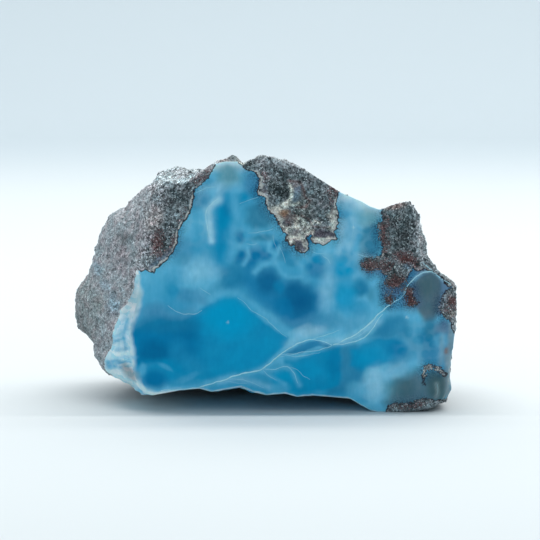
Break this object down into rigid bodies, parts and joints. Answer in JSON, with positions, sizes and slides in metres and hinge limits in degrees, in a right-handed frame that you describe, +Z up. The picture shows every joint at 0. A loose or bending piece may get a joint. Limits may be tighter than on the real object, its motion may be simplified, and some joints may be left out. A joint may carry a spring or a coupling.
{
  "type": "rough larimar stone",
  "caption": "Rough lump of sky-blue larimar grown in grey basalt, with one flat ground face, resting on its underside.",
  "frame": {"origin": "centre of the bounding box's bottom, on the floor that the stone rests on", "axes": "+X to the right along the stone's length as seen from the ground face, +Y from that face towards the back, +Z up"},
  "size_m": [0.1149, 0.061, 0.075],
  "materials": {
    "larimar": "ground and waxed on the blue front face, rough and weathered elsewhere"
  },
  "bodies": {
    "root": {"larimar": "larimar"}
  },
  "joints": []
}
